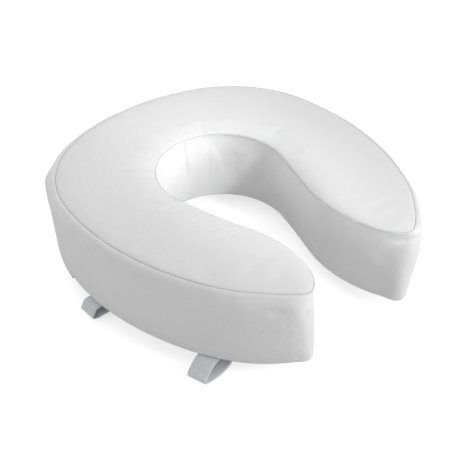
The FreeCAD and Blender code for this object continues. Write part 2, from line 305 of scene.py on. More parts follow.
# ---- band ---------------------------------------------------------------

def band_rows():
    """Heights of the band's rows of points, as shares of its full height."""
    low = [0.0, 0.004, 0.010, 0.018, 0.030, 0.044]
    slot = [SLOT_LOW / TOP_Z, SLOT_HIGH / TOP_Z]
    middle = list(np.linspace(0.09, 0.80, 22))
    high = list(1 - (1 - 0.80) * (1 - np.linspace(0, 1, 20)[1:]) ** 1.5)
    rows = sorted(low + slot + middle + high)
    return np.array([r for i, r in enumerate(rows) if i == 0 or r - rows[i - 1] > 0.002])


def band_points(inset=0.0):
    """Grid of points on the band, rows upwards and columns clockwise. The last
    row is the sewn edge, turned in under the top seam."""
    rows = []
    inner = outline.outer < 0.5
    at_join = inner & (outline.seam[:, 1] > JOIN_LOW.y - 10 * MM)
    for share in band_rows():
        across = np.where(at_join, np.abs(outline.seam[:, 0] - join_x(share)), 1.0)
        z = outline.seam_z * share
        offset = outline.band_offset(z) - inset
        offset = offset - 0.6 * MM * np.exp(-(across / (0.9 * MM)) ** 2)
        if inset == 0.0:
            offset = offset + band_creases(share, across)
        xy = outline.seam + outline.normal * offset[:, None]
        droop = hem_droop() * max(0.0, 1 - z.mean() / (14 * MM))
        rows.append(np.column_stack([xy, z - droop]))
    turned = outline.seam - outline.normal * (inset + 0.4 * MM)
    rows[-1][:, 2] -= GROOVE_DEEP
    rows.append(np.column_stack([turned, outline.seam_z - GROOVE_DEEP - TURN_IN]))
    return np.array(rows)


def join_x(share):
    """Where the band's join crosses the opening's back, at a share of height."""
    return (JOIN_LOW.x + JOIN_HIGH.x) / 2 + JOIN_LEAN * (0.9 - share)


def hem_droop():
    """How much lower the zip strip's edge hangs towards its two ends, and,
    below zero, how far the band's hem is drawn up beyond them."""
    behind = outline.wall[:, 1] - STRIP_END_Y
    near_end = np.exp(-np.clip(behind, 0, None) / (45 * MM))
    beyond = np.exp(-np.clip(-behind, 0, None) / (14 * MM))
    droop = np.where(behind > 0, HEM_DROOP * near_end, -HEM_RISE * beyond)
    return droop * (outline.outer > 0.5)


def band_creases(share, across):
    """Shallow wrinkles in the band: lumps all over, a few soft upright folds in
    the opening, small puckers that run down from the top seam, and a second
    line under the seam near the left arm's tip."""
    place = np.arange(SAMPLES) * outline.step
    upright = math.sin(math.pi * share)
    lumps = np.array([
        0.60 * bumps(x, y, share * 0.1, 0.05, 1.7) + 0.25 * bumps(x, y, share * 0.1, 0.018, 4.1)
        for x, y in outline.wall
    ])
    beside_join = np.exp(-((across - 0.035) / 0.02) ** 2)
    folds = (1 - outline.outer) * 0.8 * np.sin(place / (5.5 * MM)) * beside_join
    puckers = 0.12 * np.sin(place / PUCKER_LONG) * math.exp(-((1 - share) / 0.05) ** 2)
    left = outline.wall[:, 0] < 0
    near_tip = left * np.exp(-((outline.past_tip - 60 * MM) / (45 * MM)) ** 2)
    second_line = -0.45 * near_tip * math.exp(-((share - 0.955) / 0.009) ** 2)
    return MM * (lumps * upright + folds * upright + puckers + second_line)


def grid_faces(rows, columns):
    faces = []
    for r in range(rows - 1):
        for c in range(columns):
            d = (c + 1) % columns
            a, b = r * columns + c, r * columns + d
            faces.append((a, a + columns, b + columns, b))
    return faces


def build_band():
    """The side band, and the narrow strip of it under the zip."""
    points = band_points()
    rows = len(points)
    flat = points.reshape(-1, 3)
    outer = outline.outer > 0.5
    middle_z = (points[:-1] + points[1:])[:, :, 2].mean(axis=1) / 2
    low_rows = middle_z < SLOT_LOW
    slot_rows = (middle_z > SLOT_LOW) & (middle_z < SLOT_HIGH)
    zip_columns = outer & (np.abs(outline.back_angle) < outline.zip_half - 0.15)
    strip_columns = outer & (outline.wall[:, 1] > STRIP_END_Y)
    solid_columns = outer & (outline.wall[:, 1] > STRIP_END_Y + STRIP_GAP)
    band, strip = [], []
    for i, face in enumerate(grid_faces(rows, SAMPLES)):
        r, c = divmod(i, SAMPLES)
        if low_rows[r] and strip_columns[c]:
            if solid_columns[c]:
                strip.append(face)
        elif not (slot_rows[r] and zip_columns[c]):
            band.append(face)
    pieces = []
    for name, faces in (("side_band_cover", band), ("zip_strip_cover", strip)):
        obj = make_object(name, *used_only(flat, faces))
        pieces.append(thicken(obj, SHEET))
    return pieces


# ---- top and bottom panels ----------------------------------------------

def inside_offset(curve, distance):
    """A closed curve moved inwards."""
    return curve - outward(curve) * distance


def fill_loop(loop, spacing):
    """Triangles inside a closed loop, with extra points on a hexagonal grid."""
    tree = KDTree(len(loop))
    for i, p in enumerate(loop):
        tree.insert((p[0], p[1], 0), i)
    tree.balance()
    normals = outward(loop)
    low, high = loop.min(axis=0), loop.max(axis=0)
    extra = []
    row = 0
    y = low[1]
    while y < high[1]:
        x = low[0] + (spacing / 2 if row % 2 else 0)
        while x < high[0]:
            _, i, distance = tree.find((x, y, 0))
            away = (x - loop[i][0]) * normals[i][0] + (y - loop[i][1]) * normals[i][1]
            if away < 0 and distance > 0.7 * spacing:
                extra.append((x, y))
            x += spacing
        row += 1
        y += spacing * math.sqrt(3) / 2
    points = [Vector(p) for p in loop] + [Vector(p) for p in extra]
    edges = [(i, (i + 1) % len(loop)) for i in range(len(loop))]
    made, _, faces, _, _, _ = delaunay_2d_cdt(points, edges, [], 1, 1e-7)
    return np.array([tuple(p) for p in made]), [tuple(f) for f in faces]


def seam_tree():
    tree = KDTree(SAMPLES)
    for i, p in enumerate(outline.seam):
        tree.insert((p[0], p[1], 0), i)
    tree.balance()
    return tree


SEAM_TREE = seam_tree()
OPENING_CENTRE_Y = JOIN_LOW.y - 80 * MM

# Creases that run away from the opening's back, fanned about its centre: angle
# in degrees from +Y towards -X, then start, end, width and depth in millimetres.
FAN_CREASES = (
    (8, 84, 104, 3.2, 1.1),
    (26, 84, 118, 3.4, 1.9),
    (34, 86, 110, 3.0, 1.1),
    (53, 86, 118, 3.4, 1.7),
    (62, 88, 108, 3.0, 0.9),
    (-24, 84, 100, 3.4, 0.6),
)


def fan_crease(x, y, angle, start, end, width, depth):
    a = math.radians(angle)
    dx, dy = x, y - OPENING_CENTRE_Y
    along = (-math.sin(a) * dx + math.cos(a) * dy) / MM
    across = (math.cos(a) * dx + math.sin(a) * dy) / MM
    if along < start - 8 or along > end + 12 or abs(across) > 4 * width:
        return 0.0
    reach = min(1.0, max(0.0, (along - start + 8) / 8)) * min(1.0, max(0.0, (end + 12 - along) / 20))
    wave = (1 - (across / width) ** 2) * math.exp(-0.5 * (across / width) ** 2)
    return -depth * reach * wave


def top_shape(x, y):
    """Height of the top panel's outer surface at a place inside the seam."""
    _, i, d = SEAM_TREE.find((x, y, 0))
    edge = outline.seam_z[i]
    crown = 1.5 * MM * (1 - math.exp(-d / (18 * MM)))
    rise = (TOP_Z - 1.3 * MM) - edge
    roll = (3.4 + 2.0 * (1 - outline.outer[i]) + 4.0 * outline.soft[i]) * MM
    z = edge + rise * (1 - math.exp(-d / roll)) + crown
    z -= GROOVE_DEEP * math.exp(-(d / GROOVE_HALF) ** 2)
    away = 1 - math.exp(-(d / (9 * MM)) ** 2)
    lumps = 0.60 * bumps(x, y, 0, 0.060, 0.3) + 0.28 * bumps(x, y, 0, 0.018, 2.2)
    fine = 0.80 * math.sin((0.25 * x + y) / (1.4 * MM) + 4 * bumps(x, y, 0, 0.04, 5.0))
    fine *= max(0.0, bumps(x, y, 0, 0.07, 7.7) + 0.15) * (x < 0)
    pucker = 0.09 * math.sin(i * outline.step / PUCKER_LONG)
    pucker *= math.exp(-(d / (5 * MM)) ** 2) * min(1, d / MM)
    creases = sum(fan_crease(x, y, *c) for c in FAN_CREASES)
    return z + MM * (away * (lumps + fine) + pucker + creases)


def ring_panel(name, rim, distances, height, spacing, upwards):
    """A panel made of rings that follow its rim, then a filled middle. The
    first ring is the sewn edge, turned in under the seam."""
    rings = [inside_offset(rim, 0.4 * MM)] + [inside_offset(rim, d) for d in distances]
    count = len(rim)
    faces = grid_faces(len(rings), count)
    middle, middle_faces = fill_loop(rings[-1], spacing)
    start = (len(rings) - 1) * count
    xy = np.vstack(rings[:-1] + [middle])
    faces += [tuple(start + i for i in f) for f in middle_faces]
    points = [[x, y, height(x, y)] for x, y in xy]
    for point in points[:count]:
        point[2] -= TURN_IN if upwards else -TURN_IN
    obj = make_object(name, points, faces)
    if (obj.data.polygons[-1].normal.z > 0) != upwards:
        obj.data.flip_normals()
    return obj


def build_top():
    distances = [k * MM for k in (0, 0.5, 1.0, 1.6, 2.4, 3.4, 4.6, 6.0, 7.6)]
    obj = ring_panel("top_panel_cover", outline.seam, distances, top_shape, 3.2 * MM, True)
    return thicken(obj, SHEET)


def bottom_rim():
    z = np.zeros(SAMPLES)
    return outline.seam + outline.normal * (outline.band_offset(z) - 0.1 * MM)[:, None]


def build_bottom():
    droop = hem_droop()
    rim = bottom_rim()
    tree = KDTree(SAMPLES)
    for i, p in enumerate(rim):
        tree.insert((p[0], p[1], 0), i)
    tree.balance()

    def height(x, y):
        _, i, d = tree.find((x, y, 0))
        round_edge = 0.5 * MM * math.exp(-(d / (1.2 * MM)) ** 2)
        return round_edge - droop[i] * math.exp(-(d / (5 * MM)) ** 2)

    distances = [k * MM for k in (0, 0.8, 1.8, 3.2, 5.0, 7.0)]
    obj = ring_panel("bottom_panel_cover", rim, distances, height, 6 * MM, False)
    return thicken(obj, SHEET)


def build_foam(gap=2.2 * MM, name="foam_block"):
    """The foam block: the cushion's whole shape, less a gap on every side."""
    wall = band_points(gap)[:-1]
    if gap:
        wall[:, :, 2] = np.clip(wall[:, :, 2], gap, None)
        wall = wall[2:-6]
    rows = len(wall)
    low_xy, low_faces = fill_loop(wall[0][:, :2], 9 * MM)
    high_xy, high_faces = fill_loop(wall[-1][:, :2], 9 * MM)
    z_low = wall[0][:, 2].mean()
    points = [tuple(p) for p in wall.reshape(-1, 3)]
    faces = grid_faces(rows, SAMPLES)
    start = len(points)
    points += [(x, y, z_low) for x, y in low_xy[SAMPLES:]]
    faces += cap_faces(low_faces, 0, start, False)
    start = len(points)
    points += [(x, y, top_shape(x, y) - gap) for x, y in high_xy[SAMPLES:]]
    faces += cap_faces(high_faces, (rows - 1) * SAMPLES, start, True)
    return make_object(name, points, faces)


def cap_faces(faces, rim_start, extra_start, upwards):
    """Faces of a filled loop, joined to a rim that is already there."""
    def number(i):
        return rim_start + i if i < SAMPLES else extra_start + i - SAMPLES
    made = [tuple(number(i) for i in f) for f in faces]
    return made if upwards else [tuple(reversed(f)) for f in made]


# ---- how the cover settles over the foam --------------------------------

CLOTH_GRID = 5 * MM
CLOTH_FRAMES = 20
CLOTH_REACH = 1.3 * MM      # the cover moves no further out than this
CLOTH_SINK = 0.45 * MM      # and no further in than this, where the foam stops it


def settle_cover():
    """Simulates the cover as cloth, held at its seams and pressed outwards by
    the foam."""
    shell = build_foam(0.0, "settling_cover")
    remesh = shell.modifiers.new("even_grid", "REMESH")
    remesh.mode = "VOXEL"
    remesh.voxel_size = CLOTH_GRID
    remesh.adaptivity = 0.0
    graph = bpy.context.evaluated_depsgraph_get()
    even = bpy.data.meshes.new_from_object(shell.evaluated_get(graph))
    shell.modifiers.clear()
    shell.data = even
    rest = mesh_points(even)
    held = shell.vertex_groups.new(name="held")
    for i, (x, y, z) in enumerate(rest):
        _, near, away = SEAM_TREE.find((x, y, 0))
        from_seam = math.hypot(away, z - outline.seam_z[near])
        at_seam = from_seam < 1.2 * CLOTH_GRID
        if at_seam or z < 1.2 * CLOTH_GRID:
            held.add([i], 1.0, "REPLACE")
    cloth = shell.modifiers.new("cloth", "CLOTH")
    settings = cloth.settings
    settings.vertex_group_mass = "held"
    settings.quality = 6
    settings.mass = 0.25
    settings.tension_stiffness = 12
    settings.compression_stiffness = 12
    settings.shear_stiffness = 6
    settings.bending_stiffness = 0.25
    settings.shrink_min = -0.022
    settings.use_pressure = True
    settings.uniform_pressure_force = 2.0
    settings.effector_weights.gravity = 0.0
    cloth.point_cache.frame_end = CLOTH_FRAMES
    for frame_number in range(1, CLOTH_FRAMES + 1):
        bpy.context.scene.frame_set(frame_number)
    graph = bpy.context.evaluated_depsgraph_get()
    settled = mesh_points(shell.evaluated_get(graph).data)
    bpy.data.objects.remove(shell)
    bpy.context.scene.frame_set(1)
    return rest, settled - rest


def mesh_points(mesh):
    points = np.empty(len(mesh.vertices) * 3)
    mesh.vertices.foreach_get("co", points)
    return points.reshape(-1, 3)


def follow_settled(obj, settled):
    """Moves a fine piece of the cover the way the simulated cloth moved."""
    if settled is None:
        return
    places, moves = settled
    tree = KDTree(len(places))
    for i, place in enumerate(places):
        tree.insert(place, i)
    tree.balance()
    points = mesh_points(obj.data)
    normals = [np.array(v.normal) for v in obj.data.vertices]
    for i, point in enumerate(points):
        total, weight = np.zeros(3), 0.0
        for _, near, distance in tree.find_n(point, 24):
            w = math.exp(-(distance / (1.5 * CLOTH_GRID)) ** 2) + 1e-9
            total += w * moves[near]
            weight += w
        move = total / weight
        outwards = float(move @ normals[i])
        reach = CLOTH_REACH if outwards > 0 else CLOTH_SINK
        points[i] += normals[i] * reach * math.tanh(outwards / reach)
    obj.data.vertices.foreach_set("co", points.ravel())
    obj.data.update()


# ---- seam threads -------------------------------------------------------

def tube(name, path, radius, closed, sides=6):
    """A round thread that follows a path of points."""
    path = np.asarray(path)
    if closed:
        tangent = np.roll(path, -1, axis=0) - np.roll(path, 1, axis=0)
    else:
        tangent = np.gradient(path, axis=0)
    tangent /= np.linalg.norm(tangent, axis=1)[:, None]
    up = np.array([0.0, 0.0, 1.0]) if abs(tangent[0, 2]) < 0.9 else np.array([1.0, 0.0, 0.0])
    side = np.cross(tangent, up)
    side /= np.linalg.norm(side, axis=1)[:, None]
    over = np.cross(side, tangent)
    points, faces = [], []
    for k in range(sides):
        a = 2 * math.pi * k / sides
        points.append(path + radius * (math.cos(a) * side + math.sin(a) * over))
    points = np.array(points).transpose(1, 0, 2).reshape(-1, 3)
    count = len(path)
    for i in range(count if closed else count - 1):
        j = (i + 1) % count
        for k in range(sides):
            m = (k + 1) % sides
            faces.append((i * sides + k, i * sides + m, j * sides + m, j * sides + k))
    if not closed:
        faces.append(tuple(range(sides)))
        faces.append(tuple(reversed(range((count - 1) * sides, count * sides))))
    return make_object(name, points, faces)


THREAD_RADIUS = 0.28 * MM


def build_threads():
    sunk = 0.55 * MM
    top = np.column_stack([outline.seam, outline.seam_z - sunk])
    low = np.column_stack([bottom_rim(), 0.9 * MM - hem_droop()])
    inner = (outline.outer < 0.5) & (outline.seam[:, 1] > JOIN_LOW.y - 10 * MM)
    upright = []
    for share, row in list(zip(band_rows(), band_points(0.5 * MM)))[2:-2]:
        near = row[inner]
        near = near[np.argsort(near[:, 0])]
        x = join_x(share)
        upright.append([x] + [np.interp(x, near[:, 0], near[:, i]) for i in (1, 2)])
    return (
        tube("top_seam_stitching", top, THREAD_RADIUS, True),
        tube("bottom_seam_stitching", low, THREAD_RADIUS, True),
        tube("band_join_stitching", upright, THREAD_RADIUS, False),
    )


# ---- zip ----------------------------------------------------------------

COIL_MESH = 0.45 * MM


def arc_point(angle, out, z):
    """A point near the back edge: degrees from its middle, metres beyond it."""
    a = math.radians(angle)
    r = BACK_Y - BACK_CENTRE_Y + out
    return (r * math.sin(a), BACK_CENTRE_Y + r * math.cos(a), z)


def build_coil(name, node, meshes_up, start_turn):
    """One row of nylon coil: a flattened helix that follows the back edge. It
    reaches across the zip's middle, up or down, between the other row's turns."""
    low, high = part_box(node)
    if meshes_up:
        high.z += COIL_MESH
    else:
        low.z -= COIL_MESH
    wire = 0.32 * MM
    deep = 1.6 * MM
    half_tall = (high.z - low.z) / 2 - wire
    half_deep = deep / 2 - wire
    radius = BACK_Y - BACK_CENTRE_Y
    half_angle = math.degrees(math.asin(high.x / radius))
    turns = int(2 * math.radians(half_angle) * radius / (1.5 * MM))
    steps = turns * 10
    path = []
    for i in range(steps + 1):
        turn = 2 * math.pi * (start_turn + turns * i / steps)
        angle = -half_angle + 2 * half_angle * i / steps
        out = 0.2 * MM - deep / 2 + half_deep * math.cos(turn)
        path.append(arc_point(angle, out, (low.z + high.z) / 2 + half_tall * math.sin(turn)))
    return tube(name, path, wire, False, sides=5)


# ---- straps -------------------------------------------------------------

class Strap:
    """One strap place: its own out and across directions, from the frame."""

    def __init__(self, name):
        swing = JOINTS[name + "_strap_swing"]
        self.hinge = np.array(swing["pos_m"])
        axis = np.array(swing["axis"])
        self.out = np.array([-axis[1], axis[0], 0.0])
        self.across = np.array([-self.out[1], self.out[0], 0.0])
        self.fold = np.array(JOINTS[name + "_strap_unfold"]["pos_m"])
        self.hook_hinge = np.array(JOINTS[name + "_hook_open"]["pos_m"])

    def flat(self, point):
        """(out, z) of a point, from the strap's swing hinge."""
        gap = np.asarray(point) - self.hinge
        return np.array([gap @ self.out, point[2]])

    def reach(self, node):
        """Least and greatest out of a CAD node's corners."""
        mesh = frame["nodes"][node].data
        outs = [self.flat(np.array(v.co))[0] for v in mesh.vertices]
        return min(outs), max(outs)

    def point(self, out, z):
        base = self.hinge + self.out * out
        return np.array([base[0], base[1], z])


def smooth_path(corners, step=0.7 * MM):
    """A smooth curve through (out, z) corners, at roughly equal steps."""
    corners = np.array(corners)
    before = np.vstack([2 * corners[0] - corners[1], corners[:-1]])
    after = np.vstack([corners[1:], 2 * corners[-1] - corners[-2]])
    path = []
    for i in range(len(corners) - 1):
        gap = np.linalg.norm(corners[i + 1] - corners[i])
        def slope(k):
            a = np.linalg.norm(corners[k] - before[k])
            b = np.linalg.norm(after[k] - corners[k])
            return (after[k] - before[k]) / (a + b) * gap
        for t in np.linspace(0, 1, max(3, int(gap / step)), endpoint=False):
            path.append(
                (2 * t ** 3 - 3 * t ** 2 + 1) * corners[i]
                + (t ** 3 - 2 * t ** 2 + t) * slope(i)
                + (3 * t ** 2 - 2 * t ** 3) * corners[i + 1]
                + (t ** 3 - t ** 2) * slope(i + 1)
            )
    path.append(corners[-1])
    return np.array(path)


STRAP_WIDE = 25 * MM
WEB_THICK = 1.3 * MM
STRAP_SWAY = 9 * MM         # a folded strap doesn't lie quite square


def path_normals(path):
    """Unit normals of a flat path of (out, z) points."""
    tangent = np.gradient(path, axis=0)
    tangent /= np.linalg.norm(tangent, axis=1)[:, None]
    return np.column_stack([-tangent[:, 1], tangent[:, 0]])


def webbing(name, strap, path, normal, sway=0.0):
    """A flat woven tape along a path of (out, z) points, with thicker edges.
    Its middle sways sideways by sway."""
    columns = np.linspace(-1, 1, 19)
    section = []
    for side in (1, -1):
        for c in columns[::side]:
            edge = min(1.0, (1 - abs(c)) / 0.05)
            thick = WEB_THICK / 2 * (0.35 + 0.65 * math.sqrt(edge))
            thick *= 1.12 if 0.80 < abs(c) < 0.97 else 1.0
            section.append((c * STRAP_WIDE / 2, side * thick))
    length = np.concatenate([[0], np.cumsum(np.linalg.norm(np.diff(path, axis=0), axis=1))])
    points, weave = [], []
    for i, (out, z) in enumerate(path):
        share = length[i] / length[-1]
        aside = sway * math.sin(math.pi * share) ** 2
        for across, thick in section:
            at = strap.point(out + normal[i][0] * thick, z + normal[i][1] * thick)
            points.append(at + strap.across * (across + aside))
            weave.append((across, length[i], thick))
    ring = len(section)
    faces = []
    for i in range(len(path) - 1):
        for k in range(ring):
            m = (k + 1) % ring
            faces.append((i * ring + k, (i + 1) * ring + k, (i + 1) * ring + m, i * ring + m))
    faces.append(tuple(reversed(range(ring))))
    faces.append(tuple(range((len(path) - 1) * ring, len(path) * ring)))
    obj = make_object(name, points, faces)
    for cap in obj.data.polygons[-2:]:
        cap.use_smooth = False
    attribute = obj.data.attributes.new("weave", "FLOAT_VECTOR", "POINT")
    attribute.data.foreach_set("vector", np.array(weave, np.float32).ravel())
    obj.data.update()
    outward_mesh(obj)
    return obj


def outward_mesh(obj):
    """Makes a closed mesh's faces point outwards."""
    mesh = obj.data
    volume = 0.0
    for face in mesh.polygons:
        a = mesh.vertices[face.vertices[0]].co
        for j in range(1, len(face.vertices) - 1):
            b = mesh.vertices[face.vertices[j]].co
            c = mesh.vertices[face.vertices[j + 1]].co
            volume += a.dot(b.cross(c))
    if volume < 0:
        mesh.flip_normals()


def build_straps(loop_tape, hook_tape):
    for name in ("rear_left", "rear_right", "front_left", "front_right"):
        strap = Strap(name)
        sewn_in, _ = strap.reach(name + "_strap_sewn_end")
        run_in, _ = strap.reach(name + "_strap_run")
        hook_in, _ = strap.reach(name + "_hook_strap_sewn_end")
        _, hook_out = strap.reach(name + "_hook_strap")
        fold = strap.flat(strap.fold)
        under = -1.0 * MM
        half_way = np.array([fold[0] * 0.52, fold[1] * 0.46])

        run_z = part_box(name + "_strap_run")[1].z - 0.8 * MM
        bend = np.array([-14 * MM, run_z - 0.8 * MM])
        path = smooth_path([
            (sewn_in, under),
            (sewn_in / 2, under),
            (-1.5 * MM, under),
            (3.0 * MM, under - 0.9 * MM),
            half_way,
            fold + np.array([-1.6 * MM, 2.0 * MM]),
            fold + np.array([-0.5 * MM, -0.3 * MM]),
            fold + np.array([-2.6 * MM, -1.5 * MM]),
            fold + np.array([-8.0 * MM, -2.0 * MM]),
            (0, fold[1] - 1.0 * MM),
            (bend[0], fold[1] * 0.72),
            bend + np.array([-12 * MM, -0.6 * MM]),
            ((bend[0] + run_in) / 2, run_z - 0.2 * MM),
            (run_in, run_z),
        ])
        normal = path_normals(path)
        split = int(np.argmin(np.linalg.norm(path - half_way, axis=1)))
        end = webbing(name + "_strap_outer_end", strap, path[:split + 1], normal[:split + 1])
        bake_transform(end)
        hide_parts(name + "_strap_sewn_end", name + "_strap_root")

        sway = STRAP_SWAY * (1 if strap.out[0] < 0 else -1)
        loop = webbing(name + "_strap_loop", strap, path[split:], normal[split:], sway)
        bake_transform(loop)
        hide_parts(name + "_strap_run")

        hinge_out = strap.flat(strap.hook_hinge)[0]
        hook_path = smooth_path([
            (hook_in, under),
            (hinge_out, under),
            ((hinge_out + hook_out) / 2, under - 0.1 * MM),
            (hook_out, under),
        ])
        hook = webbing(name + "_hook_strap_tape", strap, hook_path, path_normals(hook_path))
        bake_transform(hook)
        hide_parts(name + "_hook_strap_sewn_end", name + "_hook_strap")
        for obj in (end, loop):
            obj.data.materials.append(loop_tape)
        hook.data.materials.append(hook_tape)


# ---- materials ----------------------------------------------------------

class Nodes:
    """A short way to write a node material."""

    def __init__(self, name, colour, roughness, metallic=0.0, sheen=0.0, specular=0.5):
        self.material = bpy.data.materials.new(name)
        self.material.use_nodes = True
        self.tree = self.material.node_tree
        self.surface = self.tree.nodes["Principled BSDF"]
        self.surface.inputs["Base Color"].default_value = (*colour, 1)
        self.surface.inputs["Roughness"].default_value = roughness
        self.surface.inputs["Metallic"].default_value = metallic
        self.surface.inputs["Specular IOR Level"].default_value = specular
        self.surface.inputs["Sheen Weight"].default_value = sheen

    def add(self, kind, **settings):
        node = self.tree.nodes.new(kind)
        for key, value in settings.items():
            if key in node.inputs:
                node.inputs[key].default_value = value
            else:
                setattr(node, key, value)
        return node

    def link(self, a, b):
        self.tree.links.new(a, b)

    def position(self):
        return self.add("ShaderNodeTexCoord").outputs["Object"]

    def noise(self, source, scale, detail=3.0):
        node = self.add("ShaderNodeTexNoise", Scale=scale, Detail=detail)
        self.link(source, node.inputs["Vector"])
        return node.outputs["Fac"]

    def ramp(self, source, low, high, out_low, out_high):
        node = self.add("ShaderNodeMapRange")
        node.inputs["From Min"].default_value = low
        node.inputs["From Max"].default_value = high
        node.inputs["To Min"].default_value = out_low
        node.inputs["To Max"].default_value = out_high
        self.link(source, node.inputs["Value"])
        return node.outputs["Result"]

    def tint(self, factor, first, second):
        node = self.add("ShaderNodeMix", data_type="RGBA")
        node.inputs[6].default_value = (*first, 1)
        node.inputs[7].default_value = (*second, 1)
        self.link(factor, node.inputs["Factor"])
        return node.outputs[2]

    def paint(self, factor, first, second):
        """Base colour between two colours."""
        self.link(self.tint(factor, first, second), self.surface.inputs["Base Color"])

    def relief(self, normal):
        self.link(normal, self.surface.inputs["Normal"])

    def maths(self, operation, a, b):
        node = self.add("ShaderNodeMath", operation=operation)
        for source, slot in ((a, 0), (b, 1)):
            if isinstance(source, (int, float)):
                node.inputs[slot].default_value = source
            else:
                self.link(source, node.inputs[slot])
        return node.outputs[0]

    def bump(self, height, distance, strength, under=None):
        node = self.add("ShaderNodeBump")
        node.inputs["Distance"].default_value = distance
        node.inputs["Strength"].default_value = strength
        self.link(height, node.inputs["Height"])
        if under is not None:
            self.link(under, node.inputs["Normal"])
        return node.outputs["Normal"]


def vinyl_material():
    """White upholstery vinyl: fine pebbled grain and a low, uneven sheen."""
    n = Nodes("white_vinyl", (0.80, 0.80, 0.80), 0.5, specular=0.4)
    at = n.position()
    cells = n.add("ShaderNodeTexVoronoi", Scale=1100.0, feature="F1")
    n.link(at, cells.inputs["Vector"])
    broad = n.noise(at, 9.0)
    fine = n.noise(at, 420.0, 4.0)
    n.paint(n.ramp(broad, 0.35, 0.65, 0.0, 1.0), (0.845, 0.847, 0.845), (0.825, 0.827, 0.827))
    n.link(n.ramp(fine, 0.3, 0.7, 0.56, 0.68), n.surface.inputs["Roughness"])
    grain = n.bump(cells.outputs["Distance"], 0.00012, 0.35)
    crumple = n.bump(n.noise(at, 75.0, 5.0), 0.0026, 0.50, grain)
    n.relief(n.bump(fine, 0.0002, 0.25, crumple))
    return n.material


def foam_material():
    """Cream open-cell foam."""
    n = Nodes("foam", (0.86, 0.80, 0.62), 0.95, specular=0.1)
    at = n.position()
    cells = n.add("ShaderNodeTexVoronoi", Scale=700.0, feature="F1")
    n.link(at, cells.inputs["Vector"])
    n.paint(n.noise(at, 60.0), (0.88, 0.83, 0.66), (0.80, 0.73, 0.55))
    n.relief(n.bump(cells.outputs["Distance"], 0.0008, 0.8))
    return n.material


def thread_material():
    """Twisted polyester thread."""
    n = Nodes("thread", (0.55, 0.55, 0.55), 0.7, sheen=0.3, specular=0.3)
    at = n.position()
    waves = n.add("ShaderNodeTexWave", Scale=900.0, Distortion=2.0, bands_direction="DIAGONAL")
    n.link(at, waves.inputs["Vector"])
    n.paint(waves.outputs["Fac"], (0.60, 0.60, 0.60), (0.46, 0.46, 0.47))
    n.relief(n.bump(waves.outputs["Fac"], 0.0002, 0.6))
    return n.material


def tape_material(name, light, dark, pile):
    """Woven tape: ribs across and along, with a fuzzy or hooked face."""
    n = Nodes(name, light, 0.9, sheen=0.4, specular=0.2)
    at = n.add("ShaderNodeAttribute", attribute_name="weave").outputs["Vector"]
    parts = n.add("ShaderNodeSeparateXYZ")
    n.link(at, parts.inputs[0])
    across = n.maths("SINE", n.maths("MULTIPLY", parts.outputs[0], 2 * math.pi / 0.0011), 0)
    along = n.maths("SINE", n.maths("MULTIPLY", parts.outputs[1], 2 * math.pi / 0.0008), 0)
    weave = n.maths("MULTIPLY", across, along)
    fuzz = n.noise(at, 1500.0 * pile, 5.0)
    patch = n.noise(at, 160.0, 3.0)
    shade = n.maths("ADD", n.maths("MULTIPLY", weave, 0.12), n.maths("MULTIPLY", fuzz, 0.9))
    shade = n.maths("ADD", shade, n.maths("MULTIPLY", n.maths("SUBTRACT", patch, 0.5), 0.5))
    n.paint(shade, dark, light)
    n.relief(n.bump(weave, 0.0003, 0.35, n.bump(fuzz, 0.0006, 0.5)))
    return n.material


def zip_tape_material():
    """Herringbone zip tape, close to the vinyl's white."""
    n = Nodes("zip_tape", (0.72, 0.72, 0.71), 0.9, sheen=0.3, specular=0.2)
    at = n.position()
    waves = n.add("ShaderNodeTexWave", Scale=420.0, Distortion=0.6, bands_direction="DIAGONAL")
    n.link(at, waves.inputs["Vector"])
    n.paint(waves.outputs["Fac"], (0.76, 0.76, 0.75), (0.62, 0.62, 0.62))
    n.relief(n.bump(waves.outputs["Fac"], 0.0003, 0.5))
    return n.material


def coil_material():
    """Smooth nylon of the zip's two coils."""
    n = Nodes("nylon_coil", (0.78, 0.78, 0.77), 0.35, specular=0.5)
    at = n.position()
    n.paint(n.noise(at, 300.0), (0.80, 0.80, 0.79), (0.70, 0.70, 0.70))
    n.relief(n.bump(n.noise(at, 2500.0), 0.0001, 0.3))
    return n.material


def metal_material():
    """Nickel-plated zip metal with fine scratches."""
    n = Nodes("zip_metal", (0.62, 0.62, 0.63), 0.28, metallic=1.0)
    at = n.position()
    scratches = n.noise(at, 1800.0, 6.0)
    n.link(n.ramp(scratches, 0.3, 0.7, 0.20, 0.42), n.surface.inputs["Roughness"])
    n.paint(n.noise(at, 200.0), (0.66, 0.66, 0.67), (0.52, 0.52, 0.53))
    n.relief(n.bump(scratches, 0.00005, 0.4))
    return n.material


# ---- assemble -----------------------------------------------------------

def place(obj, material, slot, *nodes):
    obj.data.materials.clear()
    obj.data.materials.append(material)
    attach(obj, "cushion")
    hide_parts(*nodes)


def dress_node(name, material, bevel=0.0):
    """Gives a CAD node that stays its material, and softens its edges."""
    obj = frame["nodes"][name]
    obj.data.materials.clear()
    obj.data.materials.append(material)
    if bevel:
        edge = obj.modifiers.new("edges", "BEVEL")
        edge.width = bevel
        edge.segments = 2
        edge.limit_method = "ANGLE"


